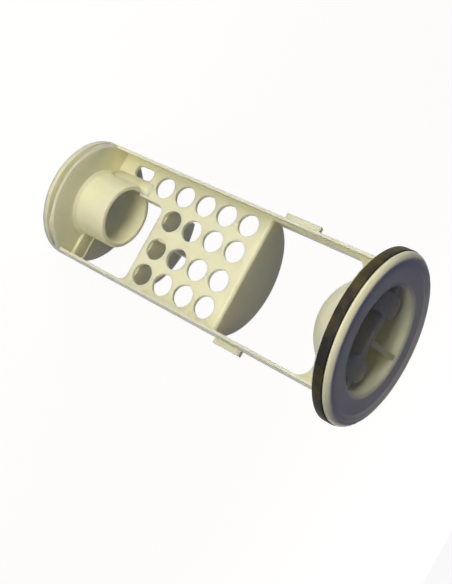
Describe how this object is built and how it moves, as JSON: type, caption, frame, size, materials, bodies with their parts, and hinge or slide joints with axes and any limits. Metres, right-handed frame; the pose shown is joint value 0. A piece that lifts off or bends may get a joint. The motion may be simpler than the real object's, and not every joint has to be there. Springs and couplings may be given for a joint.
{
  "type": "washing machine lint filter",
  "caption": "Long strainer insert: a cap with a finger well and rubber ring at one end, side rails, a perforated plate and an inlet tube at the other end.",
  "frame": {"origin": "centre of the far disc's back face, on the axis of the tube", "axes": "+Z along the axis from the far disc to the cap; -Y is the open front of the perforated plate; the row with a hole more than the others runs along the rail at -X"},
  "size_m": [0.0768, 0.0768, 0.1693],
  "materials": {
    "body_plastic": "satin moulded cream plastic",
    "ring_rubber": "dull dark rubber"
  },
  "bodies": {
    "root": {"filter_body": "body_plastic", "seal_ring": "ring_rubber"}
  },
  "joints": []
}
